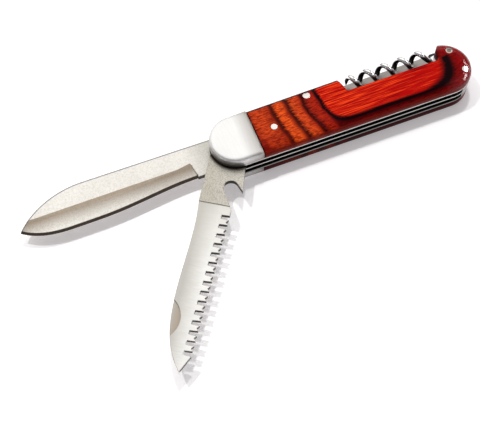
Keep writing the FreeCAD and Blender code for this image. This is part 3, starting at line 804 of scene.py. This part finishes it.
# %% Wood: outside the heart
skirt_turn = (-1.0, 7.0)
shoulder_rise = (6.4, 7.4)
shoulder_start = (86.0, 88.0)
shoulder_depth = 4.0
knot_slope = 0.45
knot_rise = 2.2
knot_fade = (1.0, 0.2)
knot_end = (14.0, 11.0)
knot_share = 0.8
knot_dark = srgb(50, 6, 6)
blush_fall = (0.0, -5.0)
blush_end = (22.0, 14.0)
blush_share = 0.5
blush_red = srgb(132, 16, 12)
stipple_fade = (0.40, 0.60)
stipple_dark = (0.48, 0.30, 0.40, 1)
stipple_light = (1.22, 1.34, 1.25, 1)


def shoulder_mask(group, at):
    return times(group, remap(group, at["Y"], *shoulder_rise), remap(group, at["X"], *shoulder_start))


def knot_mask(group, at):
    line = calc(group, "MULTIPLY_ADD", at["X"], knot_slope, calc(group, "ADD", at["Y"], knot_rise))
    near = remap(group, calc(group, "ABSOLUTE", line), *knot_fade)
    return times(group, near, remap(group, at["X"], *knot_end))


def outside_color(group, at, from_first, depth, fibre):
    slope = ramp_over(group, from_first, slope_stops)
    deep = calc(group, "MULTIPLY_ADD", shoulder_mask(group, at), shoulder_depth, depth)
    skirt = ramp_over(group, deep, skirt_stops)
    color = mix_color(group, remap(group, from_first, *skirt_turn), slope, skirt)
    color = mix_color(group, times(group, knot_mask(group, at), knot_share), color, knot_dark)
    blush = times(group, remap(group, at["Y"], *blush_fall), remap(group, at["X"], *blush_end))
    color = mix_color(group, times(group, blush, blush_share), color, blush_red)
    stipple = mix_color(group, remap(group, fibre, *stipple_fade), stipple_dark, stipple_light)
    return mix_color(group, 1.0, color, stipple, "MULTIPLY")


print("skirt takes over from the slope in", skirt_turn[1] - skirt_turn[0], "mm")

# %% [markdown]
# The heart has long streaks of red and orange with a few dark ones, and more red towards the butt.
# The glue line round it is thin at the front and broad at the butt, where the grinding cuts it
# at its shallowest, and its inner side is frayed by the same streaks.

# %% Wood: the heart and the glue line round it
heart_red = srgb(172, 6, 5)
heart_orange = srgb(236, 68, 24)
heart_dark = srgb(112, 4, 4)
aged_range = (44.0, 88.0, 0.03, 0.10)
streak_fade = (0.44, 0.58)
dark_streak_fade = (0.44, 0.36)
glue_range = (78.0, 89.0, 0.75, 2.2)
fray_reach = 3.0
glue_inner = (-1.8, -0.6)
glue_outer = (1.0, 0.3)


def heart_color(group, at, streak):
    fresh = calc(group, "SUBTRACT", streak, remap(group, at["X"], *aged_range))
    color = mix_color(group, remap(group, fresh, *streak_fade), heart_red, heart_orange)
    return mix_color(group, remap(group, streak, *dark_streak_fade), color, heart_dark)


def glue_mask(group, at, depth, streak):
    thickness = remap(group, at["X"], *glue_range)
    frayed = calc(group, "ADD", depth, swing(group, streak, fray_reach))
    inner = remap(group, calc(group, "DIVIDE", frayed, thickness), *glue_inner)
    return times(group, inner, remap(group, depth, *glue_outer))


print("glue line grows from", glue_range[2], "to", glue_range[3], "mm")

# %% [markdown]
# All of that comes together in one group, because both scales use it, each with its lines in other
# places, as no two slabs match. It works in millimetres, so the place is scaled up first, and
# two stretched noises make the short fibres and the long streaks.

# %% Node group: layered wood
to_mm = (1000, 1000, 1000)
fibre_stretch = (0.5, 3.0, 3.0)
streak_stretch = (0.07, 2.2, 2.2)
heart_edge = (0.1, -0.3)
glue_dark = srgb(16, 1, 4)
gloss_range = (0.3, 0.7, 0.36, 0.26)


def layered_wood():
    group, entry, leave = new_group(
        "layered_wood",
        (("Place", "Vector", None), ("First Line", "Float", 36.6), ("Low Line", "Float", -5.9),
         ("Butt Line", "Float", 92.6)),
        (("Color", "Color"), ("Gloss", "Float"), ("Fibre", "Float")))
    place = vector_calc(group, "MULTIPLY", entry["Place"], to_mm)
    at = parts(group, place)
    short = vector_calc(group, "MULTIPLY", place, fibre_stretch)
    fibre = noise(group, short, detail=3.0, roughness=0.6)
    long = vector_calc(group, "MULTIPLY", place, streak_stretch)
    streak = noise(group, long, detail=4.0, roughness=0.62)
    along = veneer_place(group, place, fibre)
    depth = heart_depth(group, place, along, entry)
    outside = outside_color(group, at, calc(group, "SUBTRACT", along, entry["First Line"]), depth, fibre)
    body = calc(group, "SUBTRACT", 1.0, shoulder_mask(group, at))
    inside = times(group, remap(group, depth, *heart_edge), body)
    color = mix_color(group, inside, outside, heart_color(group, at, streak))
    glue = times(group, glue_mask(group, at, depth, streak), body)
    group.links.new(mix_color(group, glue, color, glue_dark), leave["Color"])
    group.links.new(remap(group, fibre, *gloss_range), leave["Gloss"])
    group.links.new(fibre, leave["Fibre"])
    return group


wood_group = layered_wood()
print("group", wood_group.name, "with", len(wood_group.nodes), "nodes")

# %% [markdown]
# The scales are lacquered, and the lacquer is thick only on the rounded rim of the butt, where it
# shines. Elsewhere it was rubbed down to a soft gloss. A coat layer with a mask gives both. The
# wood darkens in the joint at the bolster and along the back edge. The lower edge gets painted
# light on the front scale, where its rounding catches the lamp, and painted shade on the rear
# scale, whose wall lies in shadow. Walls that face the back, such as the corkscrew's notch, get
# painted shade.

# %% Wood finish
worn_width = 0.0004
worn_share = 0.25
worn_color = srgb(190, 60, 30)
side_fade = (-0.0076, -0.0080)
side_share = 0.75
joint_line = (0.0087, 0.0083)
joint_dark = srgb(30, 9, 7)
back_rise = -0.0133
back_line = (0.0109, 0.0112)
back_dark = srgb(30, 7, 6)
back_facing_tilt = 0.8
back_facing_shade = srgb(78, 17, 12)
rim_start = (0.999, 0.95)
rim_end = (0.10, 0.5)
butt_start = (0.086, 0.093)
wood_easing = 0.0018
wood_samples = 8
fibre_depth = 0.00005


def wood_color(tree, place, wood, painted_lower_edge_tone):
    worn = use_group(tree, wear, Place=place, Width=worn_width)["Mask"]
    color = mix_color(tree, times(tree, worn, worn_share), wood["Color"], worn_color)
    at = parts(tree, place)
    # Painted light on the front scale's lower edge, painted shade on the rear scale's wall.
    side = times(tree, remap(tree, at["Y"], *side_fade), side_share)
    color = mix_color(tree, side, color, painted_lower_edge_tone)
    color = mix_color(tree, remap(tree, at["X"], *joint_line), color, joint_dark)
    back = calc(tree, "MULTIPLY_ADD", at["X"], back_rise, at["Y"])
    color = mix_color(tree, remap(tree, back, *back_line), color, back_dark)
    # Painted shade on walls that face the back, such as the corkscrew's notch.
    back_facing = above(tree, parts(tree, own_normal(tree))["Y"], back_facing_tilt)
    return mix_color(tree, back_facing, color, back_facing_shade)


def lacquer_mask(tree, place):
    upright = facing_up(tree)
    rim = times(tree, remap(tree, upright, *rim_start), remap(tree, upright, *rim_end))
    return times(tree, rim, remap(tree, parts(tree, place)["X"], *butt_start))


def wood_finish(name, first_line, low_line, butt_line, painted_lower_edge_tone):
    finish, tree, shader, place = start_finish(name)
    wood = use_group(tree, wood_group, Place=place, First_Line=first_line, Low_Line=low_line,
                     Butt_Line=butt_line)
    feed(tree, shader.inputs["Base Color"], wood_color(tree, place, wood, painted_lower_edge_tone))
    feed(tree, shader.inputs["Roughness"], wood["Gloss"])
    shader.inputs["Specular IOR Level"].default_value = 0.03
    feed(tree, shader.inputs["Coat Weight"], lacquer_mask(tree, place))
    shader.inputs["Coat Roughness"].default_value = 0.07
    shader.inputs["Coat IOR"].default_value = 1.65
    eased = add(tree, "Bevel", {"samples": wood_samples}, Radius=wood_easing).outputs[0]
    tree.links.new(eased, shader.inputs["Coat Normal"])
    dent = add(tree, "Bump", Strength=0.15, Distance=fibre_depth, Height=wood["Fibre"], Normal=eased)
    tree.links.new(dent.outputs[0], shader.inputs["Normal"])
    return finish


front_wood = wood_finish("front_wood", first_line=36.6, low_line=-5.9, butt_line=92.6,
                         painted_lower_edge_tone=srgb(122, 28, 19))
rear_wood = wood_finish("rear_wood", first_line=41.0, low_line=-6.4, butt_line=91.0,
                        painted_lower_edge_tone=srgb(46, 6, 8))
print("wood finishes:", front_wood.name, rear_wood.name)

# %% [markdown]
# Bright plating is a mirror, and a mirror is only as good as what it can see. In the real knife
# the inside of each turn sees nothing but the dark notch. Here the notch is open to the bright
# room, so the inside and the underside of the turns get a painted dark reflection: a point is
# inside when its normal points back to the axis of the worm, and under when it points down into
# the notch. The eye and its neck are left bright.

# %% Chrome finish
worm_axis = (0.0, 0.0115, 0.0112)
into_notch = (0.0, -0.88, -0.46)
turns_start = (0.0885, 0.0865)
inside_fade = (0.22, -0.12)
under_fade = (0.25, 0.60)
plate_light = (0.95, 0.95, 0.95, 1)
plate_dark = (0.86, 0.86, 0.86, 1)
plate_rough = (0.06, 0.16)
dark_reflection_color = (0.012, 0.010, 0.010, 1)


def dark_reflection_mask(tree, place):
    normal = own_normal(tree)
    from_axis = vector_calc(tree, "MULTIPLY", vector_calc(tree, "SUBTRACT", place, worm_axis), (0, 1, 1))
    outward = vector_calc(tree, "NORMALIZE", from_axis)
    inside = remap(tree, vector_calc(tree, "DOT_PRODUCT", outward, normal), *inside_fade)
    under = remap(tree, vector_calc(tree, "DOT_PRODUCT", normal, into_notch), *under_fade)
    turns = remap(tree, parts(tree, place)["X"], *turns_start)
    return times(tree, turns, calc(tree, "MAXIMUM", under, inside))


def chrome_finish():
    finish, tree, shader, place = start_finish("worm_chrome")
    lines = use_group(tree, scratches, Place=place, Stretch=(900, 900, 900), Cloud_Size=220.0)
    color = mix_color(tree, lines["Cloud"], plate_light, plate_dark)
    # Painted dark reflection inside and under the turns.
    color = mix_color(tree, dark_reflection_mask(tree, place), color, dark_reflection_color)
    feed(tree, shader.inputs["Base Color"], color)
    shader.inputs["Metallic"].default_value = 0.88
    feed(tree, shader.inputs["Roughness"], remap(tree, lines["Tone"], 0.0, 1.0, *plate_rough))
    dent = add(tree, "Bump", Strength=0.05, Distance=scratch_depth, Height=lines["Height"])
    tree.links.new(dent.outputs[0], shader.inputs["Normal"])
    return finish


bright_chrome = chrome_finish()
print("chrome finish:", bright_chrome.name)

# %% [markdown]
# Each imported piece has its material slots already, so dressing it is only a matter of putting a
# finish in them. A dictionary from piece to finish keeps the choice in one place and makes a
# forgotten piece easy to spot.

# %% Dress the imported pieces
finishes = {
    "front_scale": front_wood, "rear_scale": rear_wood,
    "front_bolster": bolster_satin, "rear_bolster": bolster_satin,
    "front_liner": liner_sheet, "center_liner": liner_sheet, "rear_liner": liner_sheet,
    "main_spring": spring_satin, "saw_spring": spring_satin,
    "blade_pivot_pin": pin_bright, "spring_pin": pin_bright, "corkscrew_pin": pin_dull,
    "butt_pin": pin_bright, "front_scale_pin": pin_bright, "rear_scale_pin": pin_bright,
    "main_blade": blade_ground, "saw_blade": saw_brushed, "corkscrew": bright_chrome}
for name, finish in finishes.items():
    for holder in nodes[name].material_slots:
        holder.material = finish
print("dressed", len(finishes), "of", len(nodes), "pieces")

# %% [markdown]
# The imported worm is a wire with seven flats, which is enough for its shape, but chrome shows every
# flat. Here the wire is made again as a round tube along a helix in the same place. The helix
# comes first: four full turns, and a last half turn that closes in to the point. It is worked
# out in millimetres, as it would be on a drawing, and becomes metres when the mesh is made.

# %% Worm: the helix
mm = 0.001
screw_pin = Vector((94.899, 8.399, 0.0))
worm_radius = 2.17
worm_tip_radius = 1.5
full_halves = 8
tip_halves = 1
full_pitch = 7.6
tip_pitch = 4.95
first_turn = math.radians(100)
worm_slope = math.radians(0.4)
worm_start = screw_pin + Vector((-10.5, 3.3, 11.2))
worm_way = Vector((-math.cos(worm_slope), -math.sin(worm_slope), 0.0))
worm_out = Vector((worm_way.y, -worm_way.x, 0.0))


def worm_path(halves):
    """The point of the helix after so many half turns."""
    past = max(0.0, halves - full_halves)
    radius = worm_radius + (worm_tip_radius - worm_radius) * past / tip_halves
    along = (halves - past) * full_pitch / 2 + past * tip_pitch / 2
    turn = first_turn - halves * math.pi
    return (worm_start + worm_way * along + worm_out * (radius * math.cos(turn))
            + Vector((0, 0, radius * math.sin(turn))))


worm_length = (worm_path(full_halves + tip_halves) - worm_path(0)).length
print("worm of", (full_halves + tip_halves) / 2, "turns,", round(worm_length, 1), "mm long")

# %% [markdown]
# Between the eye and the first turn the real wire is bent in one easy sweep. A straight
# joint would show a kink, so the run is a curve that leaves the neck straight and arrives in
# the direction of the helix. Its four weights are the usual ones for a curve with a given
# direction at both ends. The wire keeps its size up to the last half turn and is then drawn
# out to a point.

# %% Worm: the whole wire
neck_inside = screw_pin + Vector((-4.6, 1.35, 9.4))
neck_end = screw_pin + Vector((-6.3, 1.35, 9.4))
neck_pull = 4.0
neck_steps = 12
nearly_start = 0.01
steps_per_half = 20
wire_radius = 1.1
point_radius = 0.2


def neck_path(share):
    """A smooth run from the neck's end into the first turn."""
    first_point = worm_path(0)
    leave = Vector((-1, 0, 0)) * neck_pull
    arrive = (worm_path(nearly_start) - first_point).normalized() * neck_pull
    end_weight = 2 * share ** 3 - 3 * share ** 2 + 1
    leave_weight = share ** 3 - 2 * share ** 2 + share
    point_weight = -2 * share ** 3 + 3 * share ** 2
    arrive_weight = share ** 3 - share ** 2
    return (neck_end * end_weight + leave * leave_weight
            + first_point * point_weight + arrive * arrive_weight)


wire_line = [neck_inside] + [neck_path(step / neck_steps) for step in range(neck_steps)]
wire_size = [wire_radius] * len(wire_line)
for step in range((full_halves + tip_halves) * steps_per_half + 1):
    halves = step / steps_per_half
    past = max(0.0, halves - full_halves) / tip_halves
    wire_line.append(worm_path(halves))
    wire_size.append(wire_radius + (point_radius - wire_radius) * past ** 3)
wire_length = sum((end - start).length for start, end in zip(wire_line, wire_line[1:]))
print("wire of", len(wire_line), "points,", round(wire_length, 1), "mm long")

# %% [markdown]
# A curve with a bevel could make the tube, but its rings twist where the helix is steep. Here
# rings of points stand square to the path, each turned from the last by the smallest turn, so
# the tube doesn't twist, and each ring has its own size, which draws the wire out to a point.

# %% Worm: rings along the wire
wire_sides = 16


def ring(point, side, other, size):
    angles = [2 * math.pi * i / wire_sides for i in range(wire_sides)]
    return [(point + (side * math.cos(angle) + other * math.sin(angle)) * size) * mm for angle in angles]


def tube_corners(points, sizes):
    ways = [(end - start).normalized() for start, end in zip(points, points[1:])]
    ways.append(ways[-1])
    side = ways[0].orthogonal().normalized()
    corners = []
    for number, (point, way, size) in enumerate(zip(points, ways, sizes)):
        if number:
            side = ways[number - 1].rotation_difference(way) @ side
        corners += ring(point, side, way.cross(side), size)
    return corners


def tube_faces(rings):
    """Four-cornered faces from each ring to the next, and a cap on both ends."""
    last = (rings - 1) * wire_sides
    faces = []
    for low in range(0, last, wire_sides):
        for i in range(wire_sides):
            j = (i + 1) % wire_sides
            faces.append((low + i, low + j, low + wire_sides + j, low + wire_sides + i))
    faces.append(tuple(range(wire_sides - 1, -1, -1)))
    faces.append(tuple(range(last, last + wire_sides)))
    return faces


wire_corners = tube_corners(wire_line, wire_size)
wire_faces = tube_faces(len(wire_line))
print("tube of", len(wire_faces), "faces")

# %% [markdown]
# The eye that turns on the pin is a flat ring with a short neck, forged from the end of the rod.
# Its outline is an arc round the pin and the two corners of the neck's end, and its bore is a
# full round.

# %% Worm: the eye's outlines
eye_radius = 3.6
bore_radius = 1.44
neck_top = 2.5
neck_height = 2.3
neck_length = 6.3
rim_first = math.radians(-120)
rim_last = math.radians(90)
rim_steps = 32


def round_pin(radius, angle):
    return (screw_pin.x + radius * math.cos(angle), screw_pin.y + radius * math.sin(angle))


def eye_outline():
    """The eye's rim from the neck's underside round to the neck's top, then the neck's end."""
    angles = [rim_first + (rim_last - rim_first) * step / rim_steps for step in range(rim_steps + 1)]
    outline = [round_pin(eye_radius, angle) for angle in angles]
    outline.append((screw_pin.x - neck_length, screw_pin.y + neck_top))
    outline.append((screw_pin.x - neck_length, screw_pin.y + neck_top - neck_height))
    return outline


def bore_outline():
    return [round_pin(bore_radius, 2 * math.pi * step / rim_steps) for step in range(rim_steps)]


eye_outlines = [eye_outline(), bore_outline()]
print("eye drawn with", sum(len(outline) for outline in eye_outlines), "points")

# %% [markdown]
# A filled curve is the shortest way from outlines to a plate with a hole: it takes the rim and the
# bore, thickens them and rounds their edges, and it is turned into a mesh that can join the
# wire. The rounding grows outwards, so the curve is first drawn in by as much.

# %% Worm: the eye
eye_low = 8.25
eye_high = 10.55
eye_round = 0.25
eye_round_steps = 2


def plate(name, outlines, low, high, rounding):
    curve = bpy.data.curves.new(name, "CURVE")
    curve.dimensions = "2D"
    curve.fill_mode = "BOTH"
    curve.extrude = ((high - low) / 2 - rounding) * mm
    curve.bevel_depth = rounding * mm
    curve.bevel_resolution = eye_round_steps
    curve.offset = -rounding * mm
    for outline in outlines:
        spline = curve.splines.new("POLY")
        spline.points.add(len(outline) - 1)
        spline.use_cyclic_u = True
        for point, (x, y) in zip(spline.points, outline):
            point.co = (x * mm, y * mm, 0, 1)
    holder = bpy.data.objects.new(name, curve)
    mesh = bpy.data.meshes.new_from_object(holder)
    mesh.transform(Matrix.Translation((0, 0, (low + high) / 2 * mm)))
    bpy.data.objects.remove(holder)
    return mesh


eye_mesh = plate("eye", eye_outlines, eye_low, eye_high, eye_round)
print("eye of", len(eye_mesh.polygons), "faces")

# %% [markdown]
# Wire and eye are forged from one rod, so they become one mesh. It rides on the body that swings
# on the pin, takes the chrome's slot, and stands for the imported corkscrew, which is hidden. It
# is shaded smooth, and only edges as sharp as the wire's ends stay crisp.

# %% Worm: one piece
crisp_angle = math.radians(50)
eye_corners = [tuple(corner.co) for corner in eye_mesh.vertices]
shift = len(wire_corners)
eye_faces = [tuple(i + shift for i in face.vertices) for face in eye_mesh.polygons]
worm_mesh = bpy.data.meshes.new("corkscrew_round")
worm_mesh.from_pydata([tuple(corner) for corner in wire_corners] + eye_corners, [], wire_faces + eye_faces)
worm_mesh.materials.append(bright_chrome)
worm_mesh.shade_smooth()
worm = bpy.data.objects.new("corkscrew_round", worm_mesh)
scene.collection.objects.link(worm)
worm_mesh.set_sharp_from_angle(angle=crisp_angle)
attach(worm, "corkscrew_body")
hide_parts("corkscrew")
print("corkscrew box", rounded(worm.bound_box)[::6])
